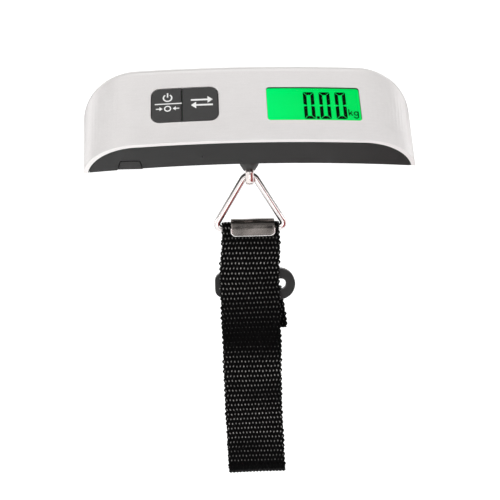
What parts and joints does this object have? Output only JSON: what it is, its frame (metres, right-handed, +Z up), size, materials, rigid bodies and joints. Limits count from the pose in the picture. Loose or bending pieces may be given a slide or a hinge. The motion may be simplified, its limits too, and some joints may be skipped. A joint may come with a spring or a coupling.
{
  "type": "digital luggage scale",
  "caption": "Handheld digital luggage scale: silver wedge handle with lit display and two keys, hung webbing loop on a steel ring and swivel eye.",
  "frame": {"origin": "middle of the handle's underside, where the load's axis leaves it", "axes": "+Z up along the load's axis, +X along the handle towards the display end, +Y from the display side to the flat back"},
  "size_m": [0.1418, 0.032, 0.1828],
  "materials": {
    "silver_shell": "pearl silver paint on moulded plastic",
    "dark_plastic": "fine moulded texture",
    "key_rubber": "satin keypad",
    "window": "clear polished",
    "lcd": "lit green display",
    "backlight": "diffuser",
    "rubber": "plain",
    "board": "solder mask",
    "board_part": "moulded",
    "steel": "bright",
    "chrome": "polished plate",
    "aluminium": "milled",
    "gauge_foil": "foil under varnish",
    "webbing": "plain weave polyester",
    "wire": "sleeve",
    "wire_red": "sleeve"
  },
  "bodies": {
    "handle": {"backlight_panel": "backlight", "base_shell": "dark_plastic", "battery_contact_negative": "steel", "battery_contact_positive": "steel", "battery_lead_negative": "wire", "battery_lead_positive": "wire_red", "beam_screw_left": "steel", "beam_screw_right": "steel", "board_screw_1": "steel", "board_screw_2": "steel", "board_screw_3": "steel", "board_screw_4": "steel", "case_screw_1": "steel", "case_screw_2": "steel", "case_screw_3": "steel", "case_screw_4": "steel", "circuit_board": "board", "coin_cell": "steel", "controller_chip": "board_part", "display_window": "window", "hood_shell": "silver_shell", "lcd_connector_strip": "rubber", "lcd_glass": "lcd", "load_cell_beam": "aluminium", "load_cell_lead": "wire", "power_switch": "board_part", "strain_gauge_left": "gauge_foil", "strain_gauge_right": "gauge_foil", "unit_switch": "board_part"},
    "power_button": {"power_key": "key_rubber"},
    "unit_button": {"unit_key": "key_rubber"},
    "door": {"battery_door": "dark_plastic"},
    "hook": {"hook_collar": "dark_plastic", "hook_eye": "chrome", "hook_nut": "steel", "hook_washer": "steel"},
    "ring": {"triangle_ring": "chrome"},
    "strap": {"webbing_clip": "steel", "webbing_strap": "webbing"},
    "tail": {"webbing_tail": "webbing"},
    "buckle": {"strap_buckle": "dark_plastic"}
  },
  "joints": [
    {"name": "power_press", "type": "slide", "parent": "handle", "child": "power_button", "axis": [0, 0.7627, -0.6468], "range_m": [0, 0.0005], "stiffness_N_per_m": 400},
    {"name": "unit_press", "type": "slide", "parent": "handle", "child": "unit_button", "axis": [0, 0.7627, -0.6468], "range_m": [0, 0.0005], "stiffness_N_per_m": 400},
    {"name": "battery_door_hinge", "type": "hinge", "parent": "handle", "child": "door", "pos_m": [-0.0505, 0.0104, -0.0005], "axis": [1, 0, 0], "range_deg": [0, 85]},
    {"name": "hook_swivel", "type": "hinge", "parent": "handle", "child": "hook", "pos_m": [0, 0, 0], "axis": [0, 0, 1], "continuous": true},
    {"name": "ring_swing", "type": "hinge", "parent": "hook", "child": "ring", "pos_m": [0, 0, -0.00675], "axis": [1, 0, 0], "range_deg": [-45, 45]},
    {"name": "strap_swing", "type": "hinge", "parent": "ring", "child": "strap", "pos_m": [0, 0, -0.0298], "axis": [1, 0, 0], "range_deg": [-45, 45]},
    {"name": "tail_bend", "type": "hinge", "parent": "strap", "child": "tail", "pos_m": [0, 0.00405, -0.118], "axis": [-1, 0, 0], "range_deg": [0, 100]},
    {"name": "buckle_pivot", "type": "hinge", "parent": "tail", "child": "buckle", "pos_m": [0, 0.0034, -0.0603], "axis": [-1, 0, 0], "range_deg": [0, 85]}
  ]
}
